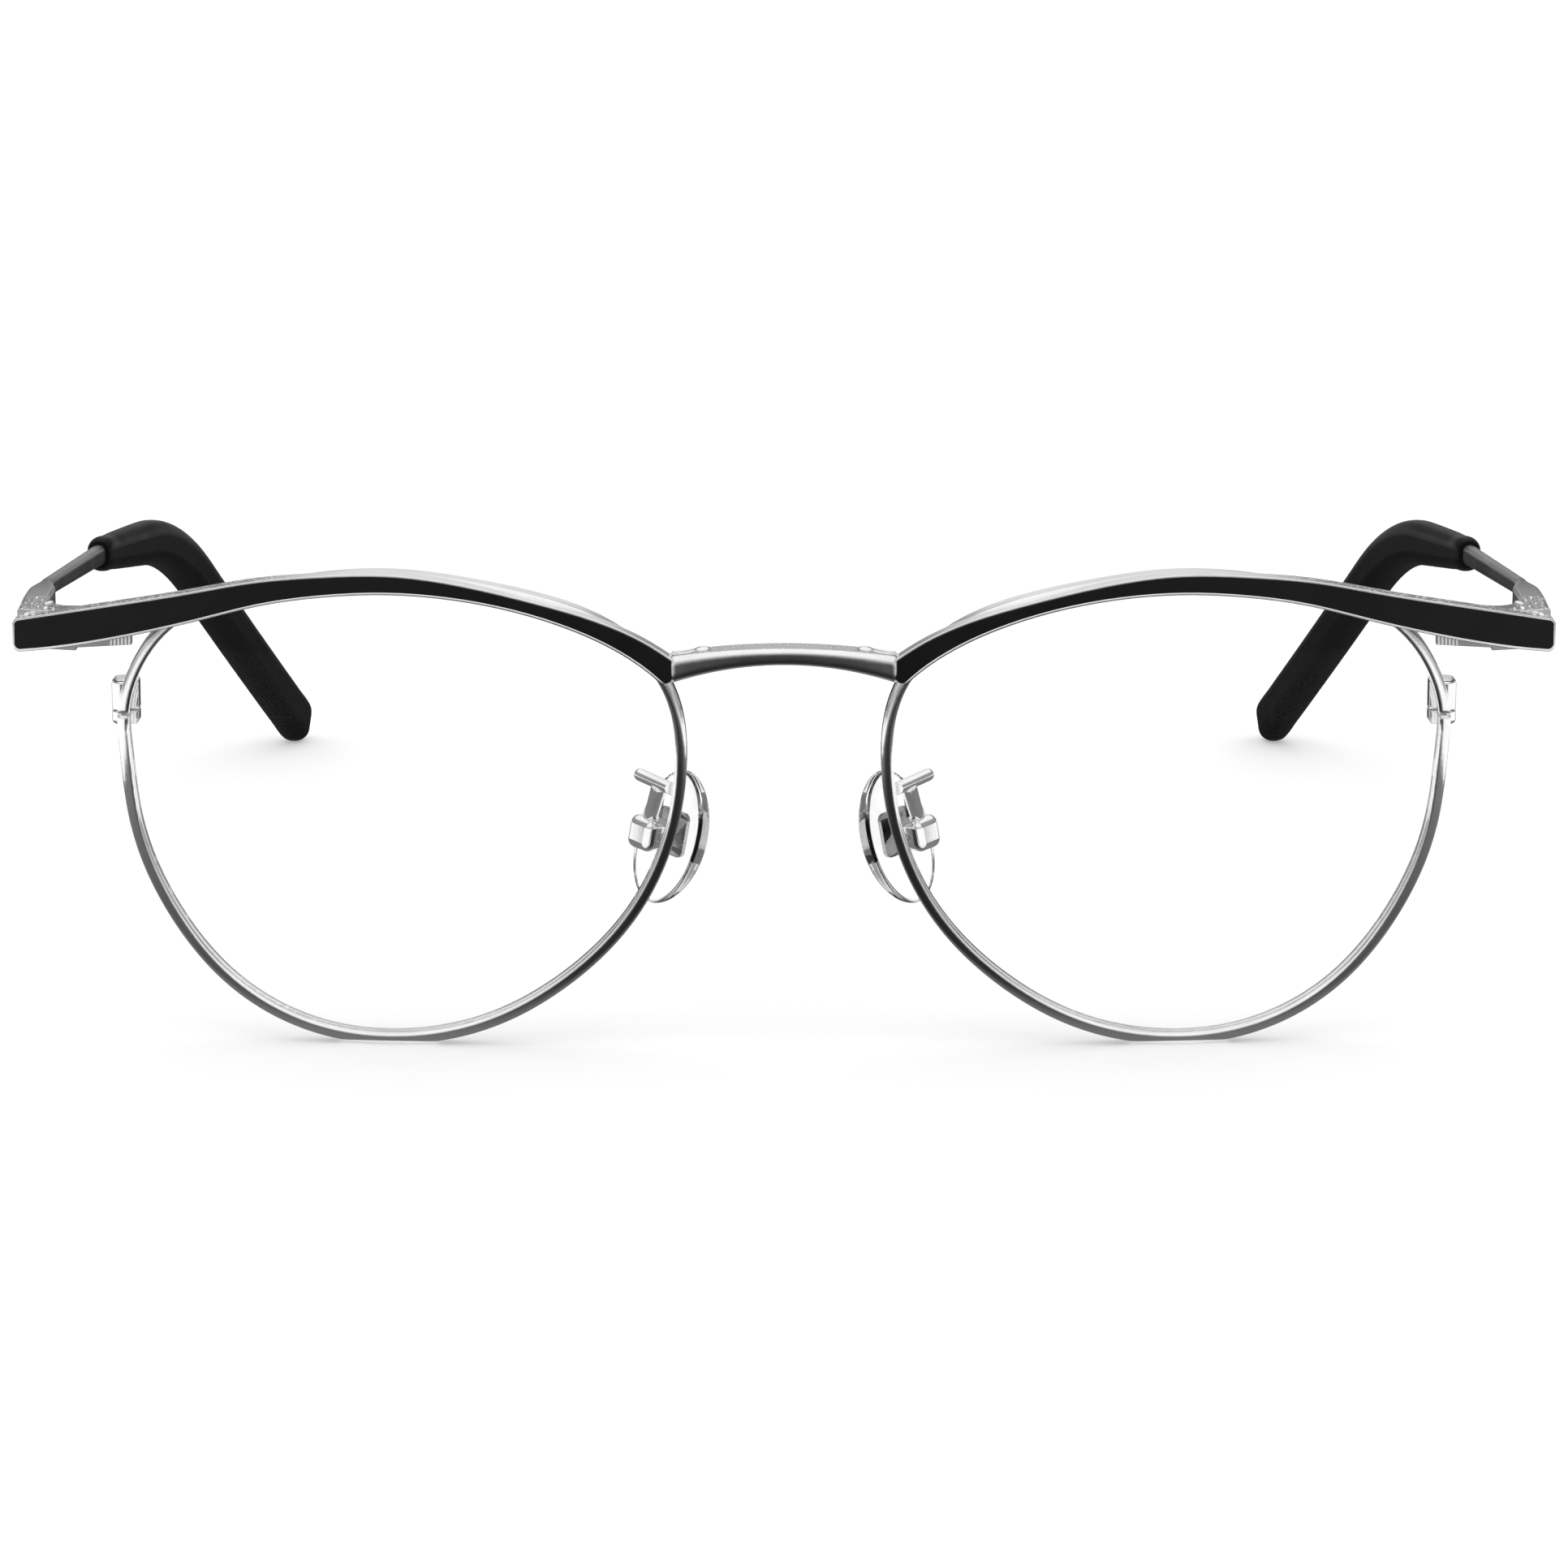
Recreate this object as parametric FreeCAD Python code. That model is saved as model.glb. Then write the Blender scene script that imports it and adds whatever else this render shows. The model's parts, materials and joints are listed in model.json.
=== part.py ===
import FreeCAD, Part
import functools
import math
import os

# Browline glasses, standing on the rims and the temple tips.
# +X is the wearer's left, +Y runs back along the temples, +Z is up.
# Each piece is drawn for the wearer's left side and mirrored for the right.
# Lengths are in millimetres and angles in degrees.

Vec = FreeCAD.Vector

# Front
front_width = 140.0
brow_reach = 10.3
lens_height = 42.3
lens_gap = 19.0
face_radius = 150.0
wrap_angle = 4.0

# Rims and lenses
rim_wall = 0.75
rim_lip = 0.35
rim_depth = 2.4
rim_edge_radius = 0.28
lens_thickness = 1.4

# Closing blocks of the rims
block_width = 2.5
block_depth = 3.1
block_upper_height = 2.8
block_lower_height = 1.2
block_split = 0.2
block_overhang = 0.7
block_set_back = 1.3
block_edge_radius = 0.4
block_side_radius = 1.1
block_screw_radius = 0.45
block_head_radius = 0.75
block_head_height = 0.45
block_screw_cover = 0.6

# Brow bars and inlays
bar_depth = 1.8
bar_corner_radius = 0.7
inlay_lip = 0.22
inlay_depth = 0.6
inlay_set_back = 0.03

# Bridge
bridge_width = 20.2
bridge_end_height = 2.5
bridge_mid_height = 1.55
bridge_rise = 1.3
bridge_depth = 3.2
bridge_bow = 0.5

# End pieces
end_thickness = 2.5
end_inset = 0.25
end_depth = 4.5
end_height = 3.5
end_rise = 1.0
end_edge_radius = 0.4
web_end = 0.4
web_gap = 0.1

# Hinges
hinge_inset = 4.2
hinge_height = 2.5
hinge_drop = 1.35
knuckle_radius = 1.3
knuckle_gap = 0.1
hinge_screw_radius = 0.6
hinge_head_radius = 0.95
hinge_head_height = 0.5
pin_clearance = 0.04
leaf_thickness = 0.9
leaf_length = 7.8
leaf_height = 2.2
stop_gap = 0.12
swing_gap = 0.25
screw_slot_width = 0.25
screw_slot_depth = 0.2

# Temples
temple_length = 127.0
temple_slope = 6.2
temple_block_length = 4.0
temple_slim_start = 9.0
temple_slim_height = 1.6
temple_slim_thickness = 1.2
temple_end_height = 2.0
temple_end_thickness = 1.4
temple_edge_radius = 0.4
core_height = 1.4
core_thickness = 1.0
core_taper = 1.5
core_end_gap = 12.0

# Temple tips
tip_start = 52.0
tip_front_height = 3.3
tip_front_thickness = 2.6
tip_height = 5.2
tip_thickness = 3.5
tip_collar = 0.8
tip_inward = 13.9
bend_start = 69.0
bend_end = 89.0
tip_dome = 2.6

# Nose pads
pad_length = 13.2
pad_width = 7.8
pad_thickness = 1.9
pad_dome_radius = 20.0
pad_edge_radius = 0.35
pad_stand_off = 3.3
pad_drop = 0.5
pad_splay = 45.0
pad_lean = 10.0
pad_turn = 12.0
pad_box_side = 3.1
pad_box_depth = 2.8
pad_box_edge_radius = 0.8
pad_tongue_thickness = 0.9
pad_tongue_radius = 0.8
pad_slot_gap = 0.15
pad_neck_height = 1.2
pad_screw_radius = 0.4
pad_head_radius = 0.65
pad_head_height = 0.3
pad_core_length = 4.2
pad_core_width = 4.0
pad_core_thickness = 0.7

# Place of the pad boxes and the pad arms, from the middle, the front and the floor
pad_box_x = 12.4
pad_box_y = 7.6
pad_box_z = 18.6
arm_radius = 0.58
arm_root_z = 23.5
arm_end_x = 13.1
arm_end_y = 6.3
arm_end_z = 24.3
arm_sink = 0.6
post_radius = 0.75

# Outline of the lens from the temple side over the top, as shares of its half width and half height
lens_shares = (
    (1.0, 0.3), (0.95, 0.6), (0.8, 0.81), (0.5, 0.935), (0.07, 1.0), (-0.35, 0.94),
    (-0.765, 0.77), (-0.955, 0.53), (-1.0, 0.24), (-0.935, -0.18), (-0.81, -0.46), (-0.58, -0.735),
    (-0.3, -0.925), (0.01, -1.0), (0.33, -0.955), (0.6, -0.785), (0.82, -0.48), (0.955, -0.11),
)

# Edges of the brow bar over the rim, as shares of the rim's half width and half height
bar_top_shares = (
    (-0.82, 0.753), (-0.46, 0.9), (-0.15, 0.98), (0.03, 1.002), (0.26, 0.995),
    (0.52, 0.963), (0.74, 0.911), (0.96, 0.861),
)
bar_bottom_shares = (
    (-0.82, 0.645), (-0.565, 0.796), (-0.15, 0.908), (0.06, 0.921), (0.26, 0.907),
    (0.49, 0.864), (0.67, 0.807), (0.92, 0.73),
)

# Heights at the two ends of the brow bar, the bridge and the split of the closing block
bar_nose_top_share = 0.66
bar_nose_bottom_share = 0.515
bar_end_top_share = 0.767
bar_end_bottom_share = 0.632
bridge_height_share = 0.612
split_share = 0.38

# Form of the sections and curves
bridge_corner_share = 0.26
web_rise_share = 0.19
leaf_rise_share = 0.1
tip_corner_share = 0.47
temple_corner_share = 0.42
tip_nose_share = 0.82
post_share = 0.48
inward_power = 1.15
dome_shares = (0.2, 0.4, 0.58, 0.74, 0.86, 0.94, 0.985, 0.998)
temple_step_shares = (0.15, 0.3, 0.45, 0.6, 0.75, 0.9)
core_step_shares = (0.12, 0.3, 0.5, 0.7, 0.85, 1.0)
outline_steps = 40
bar_steps = 24
tip_steps = 28
search_steps = 60

# Derived places
lens_width = (front_width - lens_gap) / 2 - brow_reach
rim_half_width = lens_width / 2 + rim_wall
rim_half_height = lens_height / 2 + rim_wall
lens_x = (lens_gap + lens_width) / 2
lens_z = rim_half_height
face_x = lens_x - face_radius * math.sin(math.radians(wrap_angle))
face_centre = Vec(face_x, face_radius, lens_z)
reach = lens_width
split_z = lens_z + split_share * rim_half_height
end_x = front_width / 2 - end_inset
end_top_z = lens_z + bar_end_top_share * rim_half_height
end_bottom_z = lens_z + bar_end_bottom_share * rim_half_height
joint_top_z = end_top_z + end_rise
joint_bottom_z = joint_top_z - end_height
hinge_x = end_x - hinge_inset
hinge_top_z = joint_top_z - hinge_drop
hinge_bottom_z = hinge_top_z - hinge_height
knuckle_height = (hinge_height - 2 * knuckle_gap) / 3
temple_x = end_x - end_thickness / 2


def face_y(x, z, radius):
    """Depth of the curved face of the given radius at a place seen from the front."""
    return face_radius - math.sqrt(radius ** 2 - (x - face_x) ** 2 - (z - lens_z) ** 2)


# The joints lie behind the outer ends of the brow bars
end_back = face_y(end_x, (end_top_z + end_bottom_z) / 2, face_radius) + end_depth
hinge_y = end_back
temple_front = end_back + stop_gap


def ball(radius):
    """Ball whose front is the curved face of the given radius."""
    return Part.makeSphere(radius, face_centre)


def through(wire):
    """Bar of the outline's shape, running straight through the front."""
    return Part.Face(wire).extrude(Vec(0, 2 * reach, 0))


def layer(prism, front_radius, back_radius):
    """Curved plate cut from a straight bar between two curved faces."""
    return prism.common(ball(front_radius)).cut(ball(back_radius))


def box_between(low, high):
    """Box between two opposite corners."""
    size = high - low
    return Part.makeBox(size.x, size.y, size.z, low)


def spline(points, closed=False):
    """Smooth edge through the points."""
    curve = Part.BSplineCurve()
    curve.interpolate(Points=points, PeriodicFlag=closed)
    return curve


def edges_along(shape, direction):
    """Straight edges of the shape that run along the direction."""
    found = []
    for edge in shape.Edges:
        if edge.isClosed():
            continue
        run = edge.Vertexes[-1].Point - edge.Vertexes[0].Point
        if run.cross(direction).Length < 1e-6 * edge.Length:
            found.append(edge)
    return found


def lens_outline(offset):
    """Closed outline of the lens, moved outward by the offset."""
    points = []
    for u_share, v_share in lens_shares:
        points.append(Vec(lens_x + u_share * lens_width / 2, -reach, lens_z + v_share * lens_height / 2))
    curve = spline(points, True)
    span = (curve.LastParameter - curve.FirstParameter) / outline_steps
    moved = []
    for step in range(outline_steps):
        place = curve.FirstParameter + step * span
        run = curve.tangent(place)[0]
        moved.append(curve.value(place) + Vec(run.z, 0, -run.x) * offset)
    return Part.Wire(spline(moved, True).toShape())


@functools.lru_cache
def lens():
    """Curved clear lens, held in the groove of the rim."""
    front_radius = face_radius - (rim_depth - lens_thickness) / 2
    return layer(through(lens_outline(0)), front_radius, front_radius - lens_thickness)


def split_gap():
    """Slit that divides the rim and its closing block."""
    low = Vec(lens_x, -reach, split_z - block_split / 2)
    high = Vec(front_width / 2, reach, split_z + block_split / 2)
    return box_between(low, high)


@functools.lru_cache
def rim():
    """Eyewire with rounded edges, a groove for the lens and a slit at the closing block."""
    ring = layer(through(lens_outline(rim_wall)), face_radius, face_radius - rim_depth)
    ring = ring.cut(lens()).cut(through(lens_outline(-rim_lip)))
    middle_radius = face_radius - rim_depth / 2
    loops = []
    for edge in ring.Edges:
        away = edge.Vertexes[0].Point.distanceToPoint(face_centre) - middle_radius
        if edge.isClosed() and abs(away) > (lens_thickness + rim_depth) / 4:
            loops.append(edge)
    return ring.makeFillet(rim_edge_radius, loops).cut(split_gap())


def rim_side_x(height):
    """Outermost place of the rim at a height."""
    line = Part.makeLine(Vec(lens_x, -reach, height), Vec(front_width / 2, -reach, height))
    return max(vertex.X for vertex in lens_outline(rim_wall).section(line).Vertexes)


def block_frame():
    """Outer side, front and screw place of the closing block."""
    side = rim_side_x(split_z)
    outer_x = side + block_overhang
    front_y = face_y(side, split_z, face_radius) + block_set_back
    screw_x = outer_x - block_width / 2
    rim_back_y = face_y(screw_x, split_z, face_radius - rim_depth)
    screw_y = (rim_back_y + front_y + block_depth) / 2
    return outer_x, front_y, screw_x, screw_y


def closing_block(low_z, high_z):
    """One half of the closing block, let in around the back of the rim."""
    outer_x, front_y, screw_x, screw_y = block_frame()
    low = Vec(outer_x - block_width, front_y, low_z)
    high = Vec(outer_x, front_y + block_depth, high_z)
    block = box_between(low, high)
    outer = [edge for edge in edges_along(block, Vec(0, 0, 1)) if edge.CenterOfMass.x > screw_x]
    block = block.makeFillet(block_side_radius, outer)
    inner = [edge for edge in edges_along(block, Vec(0, 0, 1)) if edge.CenterOfMass.x < screw_x]
    block = block.makeFillet(block_edge_radius, inner)
    ends = []
    for edge in block.Edges:
        if edge.BoundBox.ZLength < block_split and abs(edge.CenterOfMass.z - split_z) > block_split:
            ends.append(edge)
    block = block.makeFillet(block_edge_radius, ends)
    taken = through(lens_outline(rim_wall)).cut(ball(face_radius - rim_depth))
    return block.cut(taken).cut(closing_screw())


def closing_block_upper():
    """Upper half of the closing block."""
    low_z = split_z + block_split / 2
    return closing_block(low_z, low_z + block_upper_height)


def closing_block_lower():
    """Lower half of the closing block."""
    high_z = split_z - block_split / 2
    return closing_block(high_z - block_lower_height, high_z)


@functools.lru_cache
def closing_screw():
    """Screw put in from below, with a slotted head."""
    outer_x, front_y, screw_x, screw_y = block_frame()
    foot_z = split_z - block_split / 2 - block_lower_height
    length = block_lower_height + block_split + block_upper_height - block_screw_cover
    foot = Vec(screw_x, screw_y, foot_z)
    screw = Part.makeCylinder(block_screw_radius, length, foot)
    screw = screw.fuse(Part.makeCylinder(block_head_radius, block_head_height, foot))
    low = foot - Vec(block_head_radius, screw_slot_width / 2, 0)
    high = foot + Vec(block_head_radius, screw_slot_width / 2, screw_slot_depth)
    return screw.cut(box_between(low, high)).removeSplitter()


def rim_place(shares):
    """Place seen from the front, from shares of the rim's half sizes."""
    return Vec(lens_x + shares[0] * rim_half_width, -reach, lens_z + shares[1] * rim_half_height)


def end_place(x, share):
    """Place on one end of the brow bar."""
    return Vec(x, -reach, lens_z + share * rim_half_height)


def moved_edge(points, inset):
    """Smooth edge through the points, moved sideways by the inset."""
    curve = spline(points)
    span = (curve.LastParameter - curve.FirstParameter) / bar_steps
    moved = []
    for step in range(bar_steps + 1):
        place = curve.FirstParameter + step * span
        run = curve.tangent(place)[0]
        moved.append(curve.value(place) + Vec(run.z, 0, -run.x) * inset)
    return moved


def bar_prism(inset):
    """Straight bar with the front outline of the brow bar, set in from all but its nose end by the inset."""
    nose_x, side_x = bridge_width / 2, front_width / 2
    top = [end_place(nose_x, bar_nose_top_share)]
    top += [rim_place(shares) for shares in bar_top_shares]
    top.append(end_place(side_x, bar_end_top_share))
    bottom = [end_place(nose_x, bar_nose_bottom_share)]
    bottom += [rim_place(shares) for shares in bar_bottom_shares]
    bottom.append(end_place(side_x, bar_end_bottom_share))
    top, bottom = moved_edge(top, inset), moved_edge(bottom, -inset)
    nose_middle_z = (top[0].z + bottom[0].z) / 2
    if inset:
        top.insert(0, top[0] * 2 - top[1])
        bottom.insert(0, bottom[0] * 2 - bottom[1])
    edges = [
        spline(top).toShape(),
        Part.makeLine(top[-1], bottom[-1]),
        spline(bottom).toShape(),
        Part.makeLine(bottom[0], top[0]),
    ]
    solid = through(Part.Wire(Part.__sortEdges__(edges)))
    if inset:
        strip = box_between(Vec(nose_x, -2 * reach, 0), Vec(side_x - inset, 2 * reach, 2 * reach))
        solid = solid.common(strip)
    corners = []
    for edge in edges_along(solid, Vec(0, 1, 0)):
        place = edge.Vertexes[0]
        if place.X > lens_x or place.Z < nose_middle_z:
            corners.append(edge)
    return solid.makeFillet(bar_corner_radius - inset, corners)


def brow_bar():
    """Metal brow bar in front of the rim, with a shallow bed for the inlay."""
    front_radius = face_radius + bar_depth
    bar = layer(bar_prism(0), front_radius, face_radius)
    bed = bar_prism(inlay_lip).cut(ball(front_radius - inlay_depth))
    return bar.cut(bed)


def brow_inlay():
    """Black inlay that fills the bed of the brow bar."""
    front_radius = face_radius + bar_depth
    return layer(bar_prism(inlay_lip), front_radius - inlay_set_back, front_radius - inlay_depth)


def rounded_section(centre, across, upward, width, height, corner):
    """Closed rounded rectangle about a centre, spanned by two directions."""
    a, b = width / 2, height / 2
    mid = corner * (1 - math.sqrt(0.5))

    def at(x, z):
        return centre + across * x + upward * z

    edges = []
    for sx, sz in ((1, 1), (-1, 1), (-1, -1), (1, -1)):
        beside = at(sx * a, sz * (b - corner))
        above = at(sx * (a - corner), sz * b)
        middle = at(sx * (a - mid), sz * (b - mid))
        first, last = (beside, above) if sx == sz else (above, beside)
        if edges:
            edges.append(Part.makeLine(edges[-1].Vertexes[-1].Point, first))
        edges.append(Part.Arc(first, middle, last).toShape())
    edges.append(Part.makeLine(edges[-1].Vertexes[-1].Point, edges[0].Vertexes[0].Point))
    return Part.Wire(edges)


def bridge():
    """Arched metal bridge between the inner ends of the brow bars."""
    end_z = lens_z + bridge_height_share * rim_half_height
    half = bridge_width / 2
    end_y = face_y(half, end_z, face_radius + bar_depth) + bridge_depth / 2
    sections = []
    for step in range(-3, 4):
        share = step / 3
        arch = 1 - share ** 2
        height = bridge_end_height + (bridge_mid_height - bridge_end_height) * arch
        centre = Vec(share * half, end_y - bridge_bow * arch, end_z + bridge_rise * arch)
        corner = bridge_corner_share * height
        sections.append(rounded_section(centre, Vec(0, 1, 0), Vec(0, 0, 1), bridge_depth, height, corner))
    body = Part.makeLoft(sections, True, False)
    own_rim = rim()
    return body.cut(own_rim).cut(mirrored(own_rim))


def web_radius():
    """Radius of the web's corner, which runs out just behind the brow bar."""
    radius = end_depth
    for step in range(search_steps):
        end_face_y = face_y(end_x - end_thickness - radius, joint_top_z, face_radius)
        radius = end_back - end_face_y - web_end
    return radius


def end_web(profile):
    """Web that rounds the inner corner between the brow bar and the joint, above the hinge."""
    low_x = end_x - end_thickness
    radius = web_radius()
    web = profile.extrude(Vec(-radius, 0, radius * web_rise_share))
    low = Vec(low_x - radius, 0, hinge_top_z + web_gap)
    web = web.common(box_between(low, Vec(low_x, end_back, 2 * reach)))
    return web.cut(Part.makeCylinder(radius, 2 * reach, Vec(low_x - radius, end_back, 0)))


def end_piece():
    """Corner behind the outer end of the brow bar, up to the joint with the temple."""
    low_x = end_x - end_thickness
    points = [
        Vec(low_x, 0, end_bottom_z),
        Vec(low_x, 0, end_top_z),
        Vec(low_x, end_back, joint_top_z),
        Vec(low_x, end_back, joint_bottom_z),
    ]
    profile = Part.Face(Part.makePolygon(points + points[:1]))
    block = profile.extrude(Vec(end_thickness, 0, 0))
    outer = []
    for edge in block.Edges:
        if edge.CenterOfMass.x > temple_x and edge.BoundBox.YLength > end_depth:
            outer.append(edge)
    block = block.makeFillet(end_edge_radius, outer)
    return block.fuse(end_web(profile)).common(ball(face_radius)).removeSplitter()


def knuckle(low_z):
    """One plain hinge knuckle standing on the given height."""
    return Part.makeCylinder(knuckle_radius, knuckle_height, Vec(hinge_x, hinge_y, low_z))


def front_leaf():
    """Hinge plate on the back of the brow bar, with the upper and the lower knuckle."""
    outer_x = hinge_x + knuckle_radius
    low_z = hinge_bottom_z
    rise = leaf_rise_share * leaf_length
    corners = [
        Vec(outer_x - leaf_length, -reach, low_z + rise),
        Vec(outer_x, -reach, low_z),
        Vec(outer_x, -reach, low_z + leaf_height),
        Vec(outer_x - leaf_length, -reach, low_z + leaf_height),
    ]
    leaf = layer(through(Part.makePolygon(corners + corners[:1])), face_radius, face_radius - leaf_thickness)
    for low_z in (hinge_bottom_z, hinge_top_z - knuckle_height):
        low = Vec(hinge_x - knuckle_radius, 0, low_z)
        high = Vec(hinge_x + knuckle_radius, hinge_y, low_z + knuckle_height)
        arm = box_between(low, high).common(ball(face_radius))
        leaf = leaf.fuse(arm).fuse(knuckle(low_z))
    return leaf.cut(hinge_screw()).removeSplitter()


@functools.lru_cache
def hinge_screw():
    """Hinge screw put in from above, with a slotted head."""
    screw = Part.makeCylinder(hinge_screw_radius, hinge_height, Vec(hinge_x, hinge_y, hinge_bottom_z))
    head_foot = Vec(hinge_x, hinge_y, hinge_top_z - hinge_head_height)
    screw = screw.fuse(Part.makeCylinder(hinge_head_radius, hinge_head_height, head_foot))
    top = Vec(hinge_x, hinge_y, hinge_top_z)
    low = top - Vec(hinge_head_radius, screw_slot_width / 2, screw_slot_depth)
    high = top + Vec(hinge_head_radius, screw_slot_width / 2, 0)
    return screw.cut(box_between(low, high)).removeSplitter()


def temple_leaf():
    """Hinge plate on the inner side of the temple, with the middle knuckle."""
    inner_x = end_x - end_thickness
    low_z = hinge_bottom_z + knuckle_height + knuckle_gap
    plate_low = Vec(inner_x - leaf_thickness, hinge_y + knuckle_radius + swing_gap, hinge_bottom_z)
    plate_high = Vec(inner_x, temple_front + temple_block_length, low_z + knuckle_height)
    arm_low = Vec(hinge_x, temple_front, low_z)
    arm_high = Vec(inner_x, hinge_y + knuckle_radius + leaf_thickness, low_z + knuckle_height)
    leaf = box_between(plate_low, plate_high).fuse(box_between(arm_low, arm_high)).fuse(knuckle(low_z))
    bore = Part.makeCylinder(hinge_screw_radius + pin_clearance, knuckle_height, Vec(hinge_x, hinge_y, low_z))
    return leaf.cut(bore).removeSplitter()


def path_height(back, drop):
    """Height of the temple's middle line at a distance behind the joint, for a slope of the tip."""
    slope = math.tan(math.radians(temple_slope))
    height = joint_top_z - temple_slim_height / 2 - slope * (back - temple_slim_start)
    if back > bend_start:
        turn = min(back, bend_end) - bend_start
        height -= (drop - slope) * turn ** 2 / (2 * (bend_end - bend_start))
    if back > bend_end:
        height -= (drop - slope) * (back - bend_end)
    return height


def tip_floor(drop):
    """Lowest height that the rounded end of the tip reaches, for a slope of the tip."""
    angle = math.atan(drop)
    base = path_height(temple_length - tip_dome * math.cos(angle), drop)
    return base - math.hypot(tip_dome * math.sin(angle), tip_height / 2 * math.cos(angle))


@functools.lru_cache
def tip_drop():
    """Slope of the tip that brings its end down to the floor that the rims stand on."""
    low, high = 0.0, 3.0
    for step in range(search_steps):
        middle = (low + high) / 2
        if tip_floor(middle) > 0:
            low = middle
        else:
            high = middle
    return low


def path_point(back, drop):
    """Point of the temple's middle line at a distance behind the joint."""
    share = max(0, (back - tip_start) / (temple_length - tip_start))
    return Vec(temple_x - tip_inward * share ** inward_power, end_back + back, path_height(back, drop))


def path_section(back, drop, width, height, corner_share):
    """Rounded section of the temple, square to its middle line."""
    step = temple_length / outline_steps / outline_steps
    run = path_point(back + step, drop) - path_point(back - step, drop)
    run.normalize()
    across = run.cross(Vec(0, 0, 1)).normalize()
    upward = across.cross(run)
    corner = corner_share * min(width, height)
    return rounded_section(path_point(back, drop), across, upward, width, height, corner)


def temple_block():
    """Two ends of the block of the temple behind the joint."""
    across, upward = Vec(1, 0, 0), Vec(0, 0, 1)
    middle_z = (joint_top_z + joint_bottom_z) / 2
    sections = []
    for y in (temple_front, temple_front + temple_block_length):
        centre = Vec(temple_x, y, middle_z)
        section = rounded_section(centre, across, upward, end_thickness, end_height, temple_edge_radius)
        sections.append(section)
    return sections


def temple_neck(drop):
    """Sections that draw the temple in from its block to the slim shaft."""
    across, upward = Vec(1, 0, 0), Vec(0, 0, 1)
    slim_corner = temple_corner_share * temple_slim_thickness
    block_end = stop_gap + temple_block_length
    sections = []
    for share in temple_step_shares:
        ease = (1 - math.cos(share * math.pi)) / 2
        width = end_thickness + ease * (temple_slim_thickness - end_thickness)
        height = end_height + ease * (temple_slim_height - end_height)
        corner = temple_edge_radius + ease * (slim_corner - temple_edge_radius)
        back = block_end + share * (temple_slim_start - block_end)
        centre = Vec(temple_x, end_back + back, joint_top_z - height / 2)
        sections.append(rounded_section(centre, across, upward, width, height, corner))
    slim_sizes = temple_slim_thickness, temple_slim_height
    sections.append(path_section(temple_slim_start, drop, *slim_sizes, temple_corner_share))
    return sections


def temple_core(drop):
    """Sections of the end of the shaft and the wire core inside the tip."""
    core_from = tip_start + core_taper
    core_to = temple_length - core_end_gap
    sections = [path_section(tip_start, drop, temple_end_thickness, temple_end_height, temple_corner_share)]
    for share in (0, *core_step_shares):
        back = core_from + share * (core_to - core_from)
        sections.append(path_section(back, drop, core_thickness, core_height, temple_corner_share))
    return sections


@functools.lru_cache
def temple():
    """Metal temple: a block at the hinge, a slim shaft and the wire core inside the tip."""
    drop = tip_drop()
    block = temple_block()
    neck = block[-1:] + temple_neck(drop)
    shaft = neck[-1:] + temple_core(drop)
    solid = Part.makeLoft(block, True, True)
    solid = solid.fuse(Part.makeLoft(neck, True, False))
    return solid.fuse(Part.makeLoft(shaft, True, True))


def temple_tip():
    """Black tip over the end of the temple, with a soft collar, the ear bend and a rounded end."""
    drop = tip_drop()
    nose_width, nose_height = tip_nose_share * tip_front_thickness, tip_nose_share * tip_front_height
    sections = [path_section(tip_start, drop, nose_width, nose_height, tip_corner_share)]
    grown_from = tip_start + tip_collar
    dome_from = temple_length - tip_dome * math.cos(math.atan(drop))
    for step in range(tip_steps + 1):
        back = grown_from + step / tip_steps * (dome_from - grown_from)
        growth = math.sin(min(1, (back - grown_from) / (bend_end - grown_from)) * math.pi / 2)
        width = tip_front_thickness + (tip_thickness - tip_front_thickness) * growth
        height = tip_front_height + (tip_height - tip_front_height) * growth
        sections.append(path_section(back, drop, width, height, tip_corner_share))
    for share in dome_shares:
        back = dome_from + share * (temple_length - dome_from)
        left = math.sqrt(1 - share ** 2)
        sections.append(path_section(back, drop, left * tip_thickness, left * tip_height, tip_corner_share))
    return Part.makeLoft(sections, True, False).cut(temple())


def pad_axes():
    """Directions of the pad: along its width, toward the nose and up."""
    splay, lean = math.radians(pad_splay), math.radians(pad_lean)
    upward = Vec(-math.sin(lean), 0, math.cos(lean))
    along = Vec(math.sin(splay), math.cos(splay), 0)
    toward = upward.cross(along).normalize()
    along = toward.cross(upward)
    return along, toward, upward


def pad_placed(shape):
    """Shape drawn about the pad screw, put in its place behind the rim."""
    along, toward, upward = pad_axes()
    turn = FreeCAD.Rotation(along, toward, upward, "ZXY")
    shape.Placement = FreeCAD.Placement(Vec(pad_box_x, pad_box_y, pad_box_z), turn)
    return shape


def pad_screw_plain():
    """Pad screw across the box, drawn about its own middle."""
    half = pad_box_side / 2
    axis = Vec(1, 0, 0)
    screw = Part.makeCylinder(pad_screw_radius, pad_box_side, Vec(-half, 0, 0), axis)
    head = Part.makeCylinder(pad_head_radius, pad_head_height, Vec(half - pad_head_height, 0, 0), axis)
    low = Vec(half - screw_slot_depth, -pad_head_radius, -screw_slot_width / 2)
    high = Vec(half, pad_head_radius, screw_slot_width / 2)
    return screw.fuse(head).cut(box_between(low, high)).removeSplitter()


def pad_screw():
    """Pad screw in its place."""
    return pad_placed(pad_screw_plain())


def pad_box_plain():
    """Rounded block of the pad box, drawn about the pad screw."""
    half, deep = pad_box_side / 2, pad_box_depth / 2
    box = box_between(Vec(-half, -deep, -half), Vec(half, deep, half))
    return box.makeFillet(pad_box_edge_radius, box.Edges)


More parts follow.
